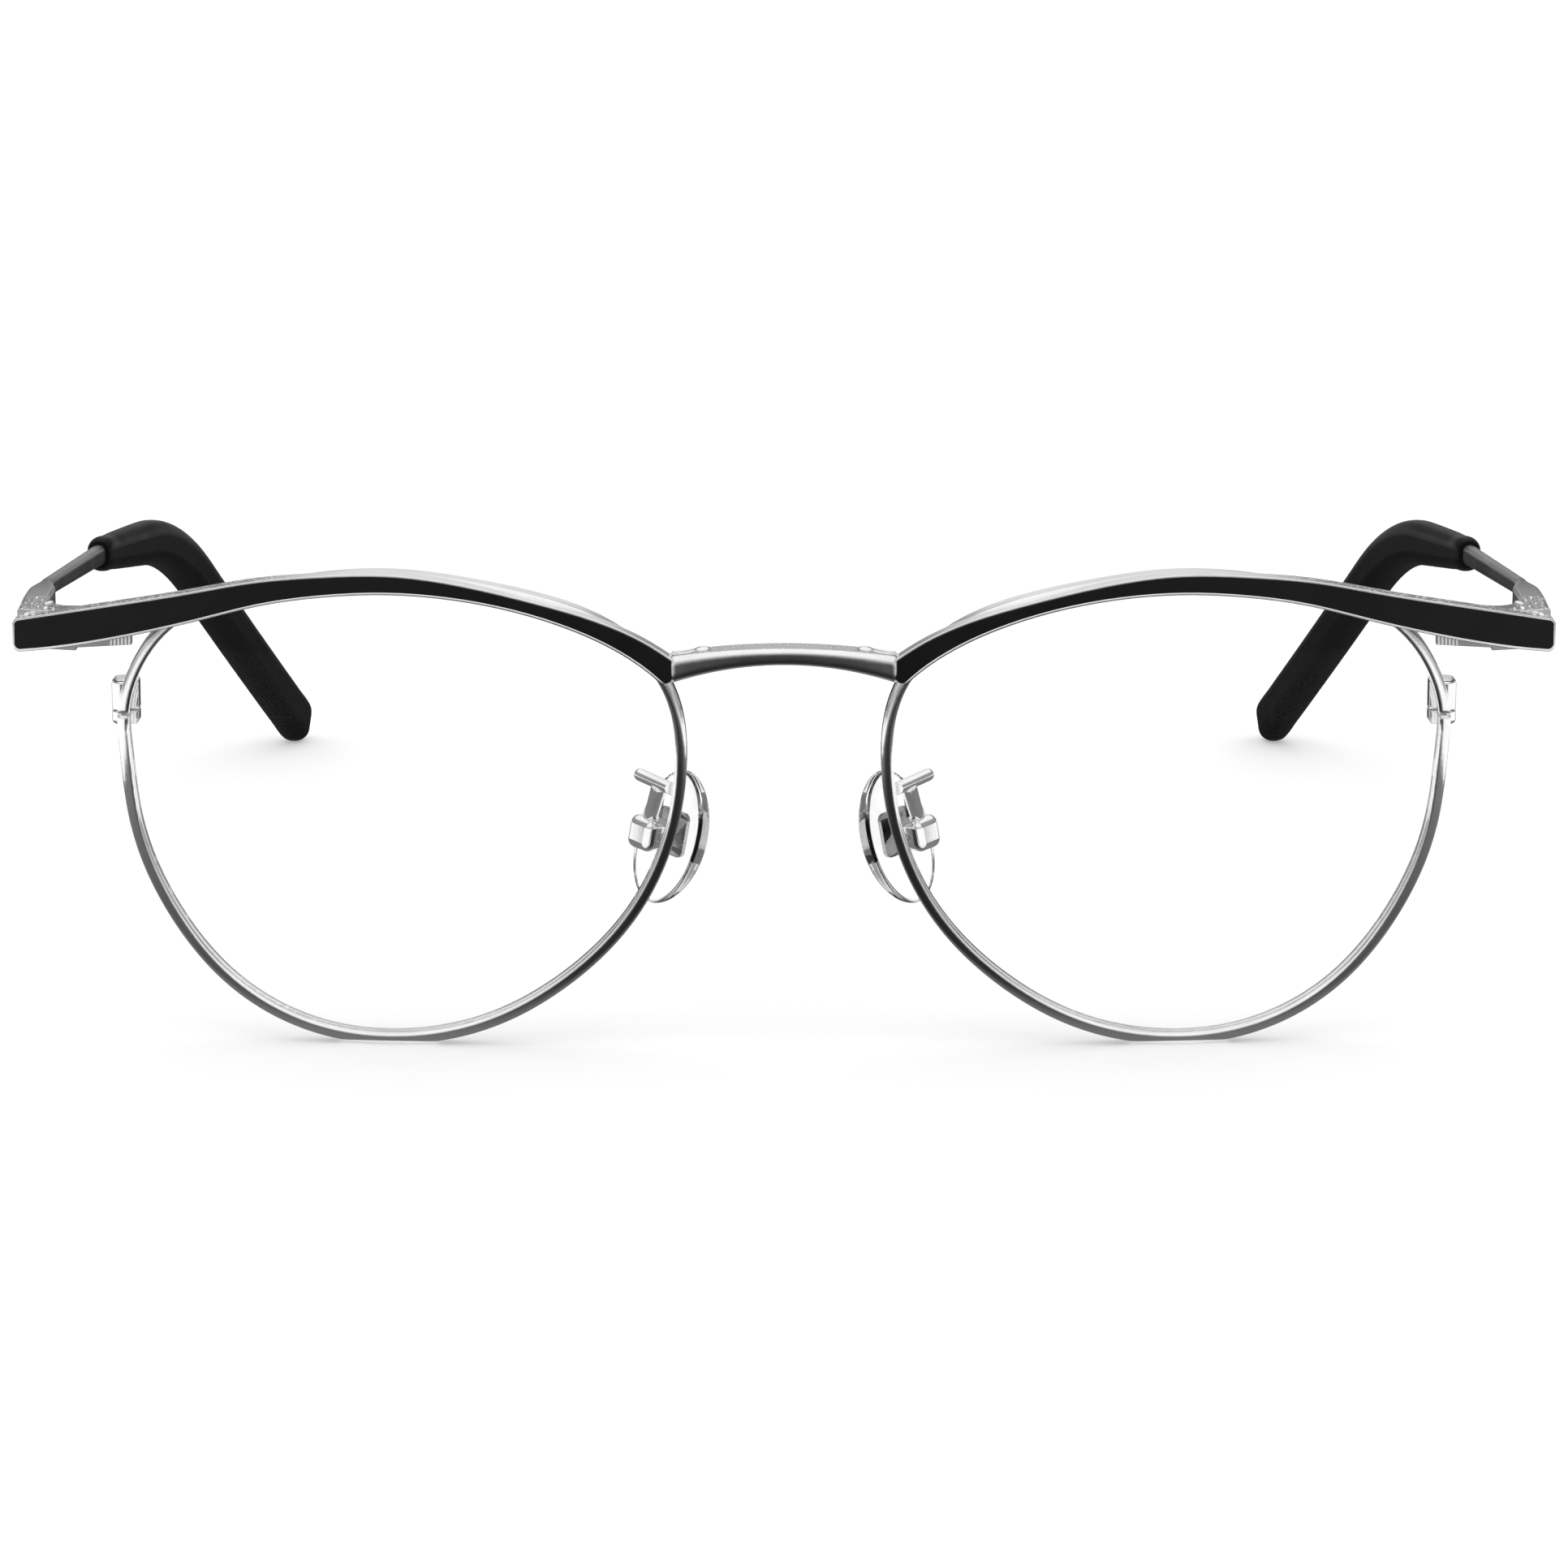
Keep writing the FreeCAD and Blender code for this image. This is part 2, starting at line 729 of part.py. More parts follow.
def pad_box():
    """Box at the end of the pad arm, open toward the pad and below."""
    slot_half = pad_tongue_thickness / 2 + pad_slot_gap
    slot_reach = pad_tongue_radius + pad_slot_gap
    slot = box_between(Vec(-slot_half, -slot_reach, -pad_box_side), Vec(slot_half, pad_box_depth, slot_reach))
    return pad_placed(pad_box_plain().cut(slot).cut(pad_screw_plain()))


def pad_core_plain():
    """Metal core of the pad: a tongue on the screw, a neck and a plate inside the pad."""
    thin, neck = pad_tongue_thickness / 2, pad_neck_height / 2
    axis = Vec(1, 0, 0)
    tongue = Part.makeCylinder(pad_tongue_radius, pad_tongue_thickness, Vec(-thin, 0, 0), axis)
    tongue = tongue.fuse(box_between(Vec(-thin, 0, -neck), Vec(thin, pad_stand_off, neck)))
    low = Vec(-pad_core_width / 2, pad_stand_off - pad_core_thickness / 2, -pad_core_length / 2)
    high = Vec(pad_core_width / 2, pad_stand_off + pad_core_thickness / 2, pad_core_length / 2)
    plate = box_between(low, high)
    plate = plate.makeFillet(pad_core_thickness, edges_along(plate, Vec(0, 1, 0)))
    bore_radius = pad_screw_radius + pin_clearance
    bore = Part.makeCylinder(bore_radius, pad_tongue_thickness, Vec(-thin, 0, 0), axis)
    return tongue.fuse(plate).cut(bore).removeSplitter()


def pad_core():
    """Pad core in its place."""
    return pad_placed(pad_core_plain())


def nose_pad():
    """Clear oval pad, domed toward the nose."""
    ring = Part.Ellipse(Vec(0, 0, 0), pad_length / 2, pad_width / 2).toShape()
    disc = Part.Face(Part.Wire(ring)).extrude(Vec(0, 0, pad_thickness))
    dome = Part.makeSphere(pad_dome_radius, Vec(0, 0, pad_thickness - pad_dome_radius))
    pad = disc.common(dome)
    pad = pad.makeFillet(pad_edge_radius, [edge for edge in pad.Edges if edge.isClosed()])
    turn = FreeCAD.Rotation(Vec(0, 0, 1), Vec(1, 0, 0), Vec(0, 1, 0), "ZXY")
    turn = FreeCAD.Rotation(Vec(0, 1, 0), -pad_turn).multiply(turn)
    pad.Placement = FreeCAD.Placement(Vec(0, pad_stand_off - pad_thickness / 2, -pad_drop), turn)
    return pad_placed(Part.makeCompound([pad.cut(pad_core_plain())]).Solids[0])


def rod(start, stop, radius):
    """Round rod between two points."""
    run = stop - start
    return Part.makeCylinder(radius, run.Length, start, run)


def pad_arm():
    """Round arm on the back of the rim, with a post down to the top of the pad box."""
    along, toward, upward = pad_axes()
    side = Part.makeLine(Vec(0, -reach, arm_root_z), Vec(lens_x, -reach, arm_root_z))
    rim_x = min(vertex.X for vertex in lens_outline((rim_wall - rim_lip) / 2).section(side).Vertexes)
    root = Vec(rim_x, face_y(rim_x, arm_root_z, face_radius - rim_depth) - arm_sink, arm_root_z)
    end = Vec(arm_end_x, arm_end_y, arm_end_z)
    foot = Vec(pad_box_x, pad_box_y, pad_box_z) + upward * (pad_box_side / 2 - arm_sink)
    head = root + (end - root) * post_share
    head += (foot - head).normalize() * (arm_radius / 2)
    arm = rod(root, end, arm_radius).fuse(Part.makeSphere(arm_radius, end)).fuse(rod(head, foot, post_radius))
    return arm.common(ball(face_radius - rim_depth)).cut(pad_placed(pad_box_plain())).removeSplitter()


def mirrored(shape):
    """The same piece for the wearer's right side."""
    return shape.mirror(Vec(0, 0, 0), Vec(1, 0, 0))


paired = (
    ("rim", rim),
    ("lens", lens),
    ("closing_block_upper", closing_block_upper),
    ("closing_block_lower", closing_block_lower),
    ("closing_screw", closing_screw),
    ("brow_bar", brow_bar),
    ("brow_inlay", brow_inlay),
    ("end_piece", end_piece),
    ("front_hinge_leaf", front_leaf),
    ("hinge_screw", hinge_screw),
    ("temple_hinge_leaf", temple_leaf),
    ("temple", temple),
    ("temple_tip", temple_tip),
    ("pad_arm", pad_arm),
    ("pad_box", pad_box),
    ("pad_screw", pad_screw),
    ("pad_core", pad_core),
    ("nose_pad", nose_pad),
)

pieces = {"bridge": bridge()}
for name, draw in paired:
    piece = draw()
    pieces["left_" + name] = piece
    pieces["right_" + name] = mirrored(piece)

# Put the origin on the floor, below the middle of the whole
whole = Part.makeCompound(list(pieces.values())).optimalBoundingBox(False, False)
shift = Vec(0, -(whole.YMin + whole.YMax) / 2, -whole.ZMin)

os.makedirs("parts", exist_ok=True)
for name, piece in pieces.items():
    piece.translate(shift)
    piece.exportStep("parts/" + name + ".step")

print("hinge axis", Vec(hinge_x, hinge_y, (hinge_top_z + hinge_bottom_z) / 2) + shift)
print("pad axis", Vec(pad_box_x, pad_box_y, pad_box_z) + shift, pad_axes()[0])
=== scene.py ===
import json
import math

import bmesh
import bpy
from mathutils import Matrix, Vector
from mathutils.bvhtree import BVHTree


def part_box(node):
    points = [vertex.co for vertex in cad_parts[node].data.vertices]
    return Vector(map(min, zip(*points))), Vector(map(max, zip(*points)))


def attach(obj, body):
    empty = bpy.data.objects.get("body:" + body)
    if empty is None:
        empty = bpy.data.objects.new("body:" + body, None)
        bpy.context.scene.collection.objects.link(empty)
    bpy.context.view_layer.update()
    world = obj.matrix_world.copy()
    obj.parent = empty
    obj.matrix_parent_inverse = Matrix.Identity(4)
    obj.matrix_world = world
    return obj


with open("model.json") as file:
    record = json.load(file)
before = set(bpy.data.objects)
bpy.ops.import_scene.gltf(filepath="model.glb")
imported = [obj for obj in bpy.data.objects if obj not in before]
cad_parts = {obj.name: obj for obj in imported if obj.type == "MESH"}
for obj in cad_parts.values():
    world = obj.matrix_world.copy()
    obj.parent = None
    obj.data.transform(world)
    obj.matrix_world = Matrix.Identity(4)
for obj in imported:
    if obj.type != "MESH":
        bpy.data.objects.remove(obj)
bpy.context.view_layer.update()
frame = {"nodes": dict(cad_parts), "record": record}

# Browline glasses: finishes, small ornaments, studio and camera.
# Lengths are in metres, in the frame of the solids: +X to the wearer's left, +Y back and +Z up.

MM = 0.001

# Places on the object
front_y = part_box("left_rim")[0].y
joint_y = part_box("left_temple")[0].y

# Camera
camera_distance = 560 * MM
camera_elevation = math.radians(12.25)
camera_lens = 142.5
camera_sensor = 36.0
aim_height = 24.68 * MM
clip_near_share = 0.01

# Floor and surroundings
floor_size = 12.0
floor_tone = 0.8
floor_glow = 0.3
world_light = 1.0

# Dark flag on the floor: its size, its tones from the middle to the sides,
# and its paler stretch behind the front
flag_width = 300 * MM
flag_front = 2.4
flag_back = 700 * MM
flag_lift = 0.4 * MM
flag_tones = (0.02, 0.2)
flag_pale_tone = 0.22
flag_pale_start = (-20 * MM, 10 * MM)
flag_pale_end = (90 * MM, 180 * MM)
flag_far_share = 0.25

# Darker parts of the surroundings, given by the direction they lie in
band_tone = 0.3
band_bottom = (0.02, 0.06)
band_top = (0.75, 0.55)
band_front = (-0.6, -0.35)
band_middle = (0.08, 0.16)
band_middle_share = 0.35
horizon_tone = 0.35
horizon_top = 0.4

# Droplets on the top of an end piece, in millimetres and degrees:
# place from its outer side and from its back, length, width and turn
droplets = (
    (1.0, 5.3, 1.0, 0.8, 10), (2.7, 2.6, 0.55, 1.0, 5), (2.6, 4.4, 0.7, 0.65, 0), (3.4, 5.2, 0.9, 0.42, 15),
    (1.4, 0.6, 0.4, 0.5, 0), (1.9, 3.7, 0.32, 0.4, 0), (1.7, 6.1, 0.32, 0.4, 0), (0.5, 4.4, 0.28, 0.42, 0),
    (0.6, 2.4, 0.25, 0.38, 0), (1.2, 2.6, 0.28, 0.38, 0), (2.0, 1.5, 0.28, 0.42, 20),
)
droplet_rise_share = 0.32
bead_segments = 20
bead_rings = 12
search_height = 1.0

# Scrolls on the top of the bridge's ends
almond_centre = 9.0 * MM
almond_half_length = 1.2 * MM
almond_half_width = 0.62 * MM
almond_wire = 0.13 * MM
almond_steps = 40
wire_sides = 10
knop_centre = 7.35 * MM
knop_radii = (0.62 * MM, 0.8 * MM, 0.34 * MM)

# Rubbed edges: how far a surface turns where wear starts and is full, and the patches that break it up
wear_samples = 4
wear_turns = (0.995, 0.8)
wear_patch_scale = 900.0
wear_patch_detail = 3.0
wear_patches = (0.35, 0.65)

# Softened edges
soft_edge_samples = 8

# Polish: clouds of tone and a fine grain
cloud_scale = 260.0
cloud_detail = 3.0
cloud_spread = (0.3, 0.7)
grain_detail = 2.0
cool_gain = 1.01

# Chased ground: dots, the waves that thin them out, and the faces that carry them
dot_scale = 2400.0
dot_smoothness = 0.4
dot_slope = (0.05, 0.55)
wave_scale = 900.0
wave_detail = 2.0
wave_spread = (0.4, 0.6)
wave_share = 0.7
chased_upward = 0.75
chased_upward_blend = 0.1
chased_behind = (-0.5, -0.25)
chased_fade = 8 * MM
chased_all_over = -chased_fade
chased_brow_start = 42 * MM
chased_tones = (0.84, 0.93)
chased_ground_tone = 0.5
chased_ground_rough = 0.12
chased_height = 0.1 * MM

# Metal in general
metal_grain = 5000.0
metal_wear = 0.6
metal_wear_radius = 0.12 * MM
rubbed_gain = 1.08
rubbed_tone_limit = 0.97

# Hinge plates, with ribs at their inner ends whose raised crests carry a painted highlight
plate_tones = (0.3, 0.4)
plate_rough = (0.15, 0.25)
plate_edge_radius = 0.06 * MM
rib_end = 61.2 * MM
rib_fade = 0.4 * MM
rib_pitch = 0.34 * MM
rib_slope = (-0.6, 0.9)
# Pale tone painted on the rib crests as a highlight
rib_painted_highlight_tone = 0.9
rib_height = 0.05 * MM

# Temples, with painted reflection: a pale tone at the joint fading to a dark tone along the shaft, standing
# in for the light and dark surroundings they reflect
temple_painted_dark_tones = (0.1, 0.14)
temple_rough = (0.3, 0.4)
temple_grain = 6000.0
temple_grain_height = 0.002 * MM
temple_edge_radius = 0.15 * MM
temple_joint_painted_pale_tone = 0.36
temple_painted_fade_length = 10 * MM

# Satin black of the inlays and tips
black_tone = 0.003
black_spread = (0.7, 1.3)
black_rubbed_gain = 3
black_wear = 0.3
black_wear_radius = 0.3 * MM
black_edge_radius = 0.1 * MM

# Clear lenses and pads
white = (1, 1, 1, 1)
lens_tint = (0.985, 0.99, 0.99, 1)
pad_tint = (0.96, 0.97, 0.97, 1)
clear_grain = 1500.0


# Node helpers

FLOAT = "NodeSocketFloat"
COLOR = "NodeSocketColor"
VECTOR = "NodeSocketVector"


def add_node(tree, kind, **values):
    """New node with its properties set."""
    node = tree.nodes.new(kind)
    for name, value in values.items():
        setattr(node, name, value)
    return node


def set_inputs(node, **values):
    """Sets sockets by their names, with _ for a space."""
    for name, value in values.items():
        node.inputs[name.replace("_", " ")].default_value = value
    return node


def new_group(name, inputs, outputs):
    """Empty shader group with named sockets; returns the tree, its input node and its output node."""
    tree = bpy.data.node_groups.new(name, "ShaderNodeTree")
    for socket_name, kind in inputs.items():
        tree.interface.new_socket(socket_name, in_out="INPUT", socket_type=kind)
    for socket_name, kind in outputs.items():
        tree.interface.new_socket(socket_name, in_out="OUTPUT", socket_type=kind)
    return tree, add_node(tree, "NodeGroupInput"), add_node(tree, "NodeGroupOutput")


def feed(tree, value, socket):
    """Sets a socket to a number or a colour, or links another socket to it."""
    if isinstance(value, (int, float, tuple)):
        socket.default_value = value
    else:
        tree.links.new(value, socket)


def math_node(tree, operation, first, second=None, clamp=False):
    """Math node on sockets or numbers; returns its output."""
    node = add_node(tree, "ShaderNodeMath", operation=operation, use_clamp=clamp)
    feed(tree, first, node.inputs[0])
    if second is not None:
        feed(tree, second, node.inputs[1])
    return node.outputs[0]


def times(tree, first, second):
    """Product of two sockets or numbers."""
    return math_node(tree, "MULTIPLY", first, second)


def range_node(tree, value, low, high, to_low=0.0, to_high=1.0):
    """Maps a value from one range to another with soft ends."""
    node = add_node(tree, "ShaderNodeMapRange", interpolation_type="SMOOTHSTEP")
    tree.links.new(value, node.inputs["Value"])
    for name, bound in (("From Min", low), ("From Max", high), ("To Min", to_low), ("To Max", to_high)):
        feed(tree, bound, node.inputs[name])
    return node.outputs["Result"]


def noise_node(tree, place, scale, detail):
    """Noise over a place; returns the value output."""
    node = add_node(tree, "ShaderNodeTexNoise")
    tree.links.new(place, node.inputs["Vector"])
    feed(tree, scale, node.inputs["Scale"])
    set_inputs(node, Detail=detail)
    return node.outputs[0]


def mix_node(tree, factor, first, second):
    """Mix of two colours, each a socket or a colour; returns the result."""
    node = add_node(tree, "ShaderNodeMix", data_type="RGBA")
    tree.links.new(factor, node.inputs["Factor"])
    colors = [socket for socket in node.inputs if socket.type == "RGBA"]
    for socket, value in zip(colors, (first, second)):
        feed(tree, value, socket)
    return [socket for socket in node.outputs if socket.type == "RGBA"][0]


def object_place(tree):
    """Place on the object, in the frame of the solids."""
    return add_node(tree, "ShaderNodeTexCoord").outputs["Object"]


def split_node(tree, vector):
    """The three parts of a vector."""
    node = add_node(tree, "ShaderNodeSeparateXYZ")
    tree.links.new(vector, node.inputs[0])
    return node.outputs


def distance_aside(tree):
    """Distance from the middle plane of the glasses."""
    return math_node(tree, "ABSOLUTE", split_node(tree, object_place(tree))["X"])


# Shared surface effects

def edge_wear_group():
    """Mask of worn edges: rubbed where the surface turns, broken up by noise."""
    tree, given, made = new_group("edge_wear", {"Radius": FLOAT, "Amount": FLOAT}, {"Mask": FLOAT})
    bevel = add_node(tree, "ShaderNodeBevel", samples=wear_samples)
    tree.links.new(given.outputs["Radius"], bevel.inputs["Radius"])
    geometry = add_node(tree, "ShaderNodeNewGeometry")
    turn = add_node(tree, "ShaderNodeVectorMath", operation="DOT_PRODUCT")
    tree.links.new(bevel.outputs["Normal"], turn.inputs[0])
    tree.links.new(geometry.outputs["Normal"], turn.inputs[1])
    edge = range_node(tree, turn.outputs["Value"], *wear_turns)
    noise = noise_node(tree, object_place(tree), wear_patch_scale, wear_patch_detail)
    patches = range_node(tree, noise, *wear_patches)
    mask = math_node(tree, "MULTIPLY", times(tree, edge, patches), given.outputs["Amount"], clamp=True)
    tree.links.new(mask, made.inputs["Mask"])
    return tree


def soft_edges_group():
    """Normal that rounds the edges off over a radius."""
    tree, given, made = new_group("soft_edges", {"Radius": FLOAT}, {"Normal": VECTOR})
    bevel = add_node(tree, "ShaderNodeBevel", samples=soft_edge_samples)
    tree.links.new(given.outputs["Radius"], bevel.inputs["Radius"])
    tree.links.new(bevel.outputs["Normal"], made.inputs["Normal"])
    return tree


def polish_group():
    """Fine polish: cloudy tone, soft roughness and grain."""
    tree, given, made = new_group(
        "polish",
        {"Tone Low": COLOR, "Tone High": COLOR, "Rough Low": FLOAT, "Rough High": FLOAT, "Grain": FLOAT},
        {"Color": COLOR, "Roughness": FLOAT, "Height": FLOAT},
    )
    place = object_place(tree)
    cloud = range_node(tree, noise_node(tree, place, cloud_scale, cloud_detail), *cloud_spread)
    tone = mix_node(tree, cloud, given.outputs["Tone Low"], given.outputs["Tone High"])
    tree.links.new(tone, made.inputs["Color"])
    grain = noise_node(tree, place, given.outputs["Grain"], grain_detail)
    evenly = times(tree, math_node(tree, "ADD", cloud, grain), 1 / 2)
    spread = math_node(tree, "SUBTRACT", given.outputs["Rough High"], given.outputs["Rough Low"])
    rough = math_node(tree, "ADD", times(tree, evenly, spread), given.outputs["Rough Low"])
    tree.links.new(rough, made.inputs["Roughness"])
    tree.links.new(grain, made.inputs["Height"])
    return tree


def chased_group():
    """Chased ground of fine dots on the faces that look up, clear of the front edge."""
    tree, given, made = new_group(
        "chased", {"Scale": FLOAT, "Upward": FLOAT}, {"Height": FLOAT, "Ground": FLOAT},
    )
    place = object_place(tree)
    cells = add_node(tree, "ShaderNodeTexVoronoi", feature="SMOOTH_F1")
    tree.links.new(place, cells.inputs["Vector"])
    tree.links.new(given.outputs["Scale"], cells.inputs["Scale"])
    set_inputs(cells, Smoothness=dot_smoothness)
    dots = range_node(tree, cells.outputs["Distance"], *dot_slope, 1.0, 0.0)
    waves = range_node(tree, noise_node(tree, place, wave_scale, wave_detail), *wave_spread)
    strength = math_node(tree, "ADD", times(tree, waves, wave_share), 1 - wave_share)
    relief = times(tree, dots, strength)
    facing = split_node(tree, add_node(tree, "ShaderNodeNewGeometry").outputs["Normal"])
    upward = given.outputs["Upward"]
    upward_start = math_node(tree, "SUBTRACT", upward, chased_upward_blend)
    above = range_node(tree, facing["Z"], upward_start, upward)
    behind = range_node(tree, facing["Y"], *chased_behind)
    mask = times(tree, above, behind)
    tree.links.new(times(tree, relief, mask), made.inputs["Height"])
    ground = times(tree, math_node(tree, "SUBTRACT", 1.0, relief), mask)
    tree.links.new(ground, made.inputs["Ground"])
    return tree


groups = {
    "edge_wear": edge_wear_group(),
    "soft_edges": soft_edges_group(),
    "polish": polish_group(),
    "chased": chased_group(),
}


# Materials

def new_material(name):
    """Material with a bare Principled shader; returns the material, its tree and the shader."""
    material = bpy.data.materials.new(name)
    material.use_nodes = True
    tree = material.node_tree
    return material, tree, tree.nodes["Principled BSDF"]


def use_group(tree, name, **values):
    """Places a shared effect in a material with its own values."""
    node = add_node(tree, "ShaderNodeGroup", node_tree=groups[name])
    return set_inputs(node, **values)


def grey(value):
    """Neutral colour, a touch cool."""
    return (value, value, min(1.0, value * cool_gain), 1.0)


def add_polish(tree, low_color, high_color, rough, grain):
    """Polish between two colours and two roughnesses."""
    rough_low, rough_high = rough
    return use_group(tree, "polish", Tone_Low=low_color, Tone_High=high_color,
                     Rough_Low=rough_low, Rough_High=rough_high, Grain=grain)


def add_grey_polish(tree, tones, rough, grain):
    """Polish between two greys."""
    low, high = tones
    return add_polish(tree, grey(low), grey(high), rough, grain)


def bump_into(tree, shader, height, distance, edge_radius):
    """Rounded edges and a bump from a height socket into the shader's normal."""
    bump = add_node(tree, "ShaderNodeBump")
    set_inputs(bump, Strength=1.0, Distance=distance)
    tree.links.new(height, bump.inputs["Height"])
    edges = use_group(tree, "soft_edges", Radius=edge_radius)
    tree.links.new(edges.outputs["Normal"], bump.inputs["Normal"])
    tree.links.new(bump.outputs["Normal"], shader.inputs["Normal"])


def metal(name, tones, rough, grain_height, edge_radius):
    """Polished or satin metal with rubbed edges."""
    material, tree, shader = new_material(name)
    polish = add_grey_polish(tree, tones, rough, metal_grain)
    wear = use_group(tree, "edge_wear", Radius=metal_wear_radius, Amount=metal_wear)
    rubbed = grey(min(rubbed_tone_limit, max(tones) * rubbed_gain))
    color = mix_node(tree, wear.outputs["Mask"], polish.outputs["Color"], rubbed)
    tree.links.new(color, shader.inputs["Base Color"])
    tree.links.new(polish.outputs["Roughness"], shader.inputs["Roughness"])
    set_inputs(shader, Metallic=1.0)
    bump_into(tree, shader, polish.outputs["Height"], grain_height, edge_radius)
    return material


def chased_metal(name, rough, edge_radius, chased_from):
    """Polished metal whose upper faces carry a chased ground, from a distance beside the middle outward."""
    material, tree, shader = new_material(name)
    polish = add_grey_polish(tree, chased_tones, rough, metal_grain)
    chased = use_group(tree, "chased", Scale=dot_scale, Upward=chased_upward)
    outward = range_node(tree, distance_aside(tree), chased_from, chased_from + chased_fade)
    ground = times(tree, chased.outputs["Ground"], outward)
    height = times(tree, chased.outputs["Height"], outward)
    color = mix_node(tree, ground, polish.outputs["Color"], grey(chased_ground_tone))
    tree.links.new(color, shader.inputs["Base Color"])
    roughness = math_node(tree, "ADD", polish.outputs["Roughness"], times(tree, ground, chased_ground_rough))
    tree.links.new(roughness, shader.inputs["Roughness"])
    set_inputs(shader, Metallic=1.0)
    bump_into(tree, shader, height, chased_height, edge_radius)
    return material


def ribbed_metal(name):
    """Darker metal of the hinge plates, with fine upright ribs at their inner ends whose raised crests are
    painted pale as a highlight.
    """
    material, tree, shader = new_material(name)
    polish = add_grey_polish(tree, plate_tones, plate_rough, metal_grain)
    aside = distance_aside(tree)
    inner = range_node(tree, aside, rib_end, rib_end - rib_fade)
    wave = math_node(tree, "SINE", times(tree, aside, 2 * math.pi / rib_pitch))
    ribs = times(tree, range_node(tree, wave, *rib_slope), inner)
    # Painted highlight: the raised crests of the ribs are painted pale.
    color = mix_node(tree, ribs, polish.outputs["Color"], grey(rib_painted_highlight_tone))
    tree.links.new(color, shader.inputs["Base Color"])
    tree.links.new(polish.outputs["Roughness"], shader.inputs["Roughness"])
    set_inputs(shader, Metallic=1.0)
    bump_into(tree, shader, ribs, rib_height, plate_edge_radius)
    return material


def temple_metal(name):
    """Satin metal with painted reflection: paler at the joint and dark along the shaft, standing in for the
    surroundings it reflects.
    """
    material, tree, shader = new_material(name)
    polish = add_grey_polish(tree, temple_painted_dark_tones, temple_rough, temple_grain)
    back = split_node(tree, object_place(tree))["Y"]
    # Painted reflection: the tone fades from pale at the joint to dark along the shaft.
    shaft = range_node(tree, back, joint_y, joint_y + temple_painted_fade_length)
    color = mix_node(tree, shaft, grey(temple_joint_painted_pale_tone), polish.outputs["Color"])
    tree.links.new(color, shader.inputs["Base Color"])
    tree.links.new(polish.outputs["Roughness"], shader.inputs["Roughness"])
    set_inputs(shader, Metallic=1.0)
    bump_into(tree, shader, polish.outputs["Height"], temple_grain_height, temple_edge_radius)
    return material


def satin_black(name, level, rough, grain_height):
    """Satin black surface with a fine grain and slightly paler rubbed edges."""
    material, tree, shader = new_material(name)
    tones = [black_tone * share for share in black_spread]
    polish = add_grey_polish(tree, tones, rough, metal_grain)
    wear = use_group(tree, "edge_wear", Radius=black_wear_radius, Amount=black_wear)
    rubbed = grey(black_tone * black_rubbed_gain)
    color = mix_node(tree, wear.outputs["Mask"], polish.outputs["Color"], rubbed)
    tree.links.new(color, shader.inputs["Base Color"])
    tree.links.new(polish.outputs["Roughness"], shader.inputs["Roughness"])
    set_inputs(shader, Specular_IOR_Level=level)
    bump_into(tree, shader, polish.outputs["Height"], grain_height, black_edge_radius)
    return material


def clear(name, tint, ior, level, rough):
    """Clear lens or pad that lets light through without a shadow."""
    material, tree, shader = new_material(name)
    polish = add_polish(tree, tint, white, rough, clear_grain)
    tree.links.new(polish.outputs["Color"], shader.inputs["Base Color"])
    tree.links.new(polish.outputs["Roughness"], shader.inputs["Roughness"])
    set_inputs(shader, Transmission_Weight=1.0, IOR=ior, Specular_IOR_Level=level)
    path = add_node(tree, "ShaderNodeLightPath")
    through = add_node(tree, "ShaderNodeBsdfTransparent")
    mix = add_node(tree, "ShaderNodeMixShader")
    tree.links.new(path.outputs["Is Shadow Ray"], mix.inputs["Fac"])
    tree.links.new(shader.outputs["BSDF"], mix.inputs[1])
    tree.links.new(through.outputs["BSDF"], mix.inputs[2])
    tree.links.new(mix.outputs["Shader"], tree.nodes["Material Output"].inputs["Surface"])
    return material


finishes = {
    "polished_silver": metal("polished_silver", tones=(0.86, 0.94), rough=(0.06, 0.12),
                             grain_height=0.001 * MM, edge_radius=0.06 * MM),
    "rim_silver": metal("rim_silver", tones=(0.86, 0.94), rough=(0.05, 0.1),
                        grain_height=0.001 * MM, edge_radius=0.5 * MM),
    "end_silver": chased_metal("end_silver", rough=(0.05, 0.12), edge_radius=0.13 * MM,
                               chased_from=chased_all_over),
    "brow_silver": chased_metal("brow_silver", rough=(0.05, 0.12), edge_radius=0.13 * MM,
                                chased_from=chased_brow_start),
    "bridge_silver": chased_metal("bridge_silver", rough=(0.12, 0.18), edge_radius=0.6 * MM,
                                  chased_from=chased_all_over),
    "hinge_plate": ribbed_metal("hinge_plate"),
    "temple_metal": temple_metal("temple_metal"),
    "screw_steel": metal("screw_steel", tones=(0.5, 0.65), rough=(0.15, 0.3),
                         grain_height=0.003 * MM, edge_radius=0.05 * MM),
    "pad_metal": metal("pad_metal", tones=(0.03, 0.06), rough=(0.2, 0.35),
                       grain_height=0.003 * MM, edge_radius=0.1 * MM),
    "black_inlay": satin_black("black_inlay", level=0.2, rough=(0.28, 0.38), grain_height=0.0003 * MM),
    "black_tip": satin_black("black_tip", level=0.1, rough=(0.4, 0.5), grain_height=0.0001 * MM),
    "clear_lens": clear("clear_lens", lens_tint, ior=1.1, level=0.5, rough=(0.0, 0.006)),
    "clear_pad": clear("clear_pad", pad_tint, ior=1.42, level=0.4, rough=(0.02, 0.05)),
}

special_finishes = {
    "bridge": "bridge_silver",
    "front_hinge_leaf": "hinge_plate",
    "end_piece": "end_silver",
    "brow_bar": "brow_silver",
    "rim": "rim_silver",
}

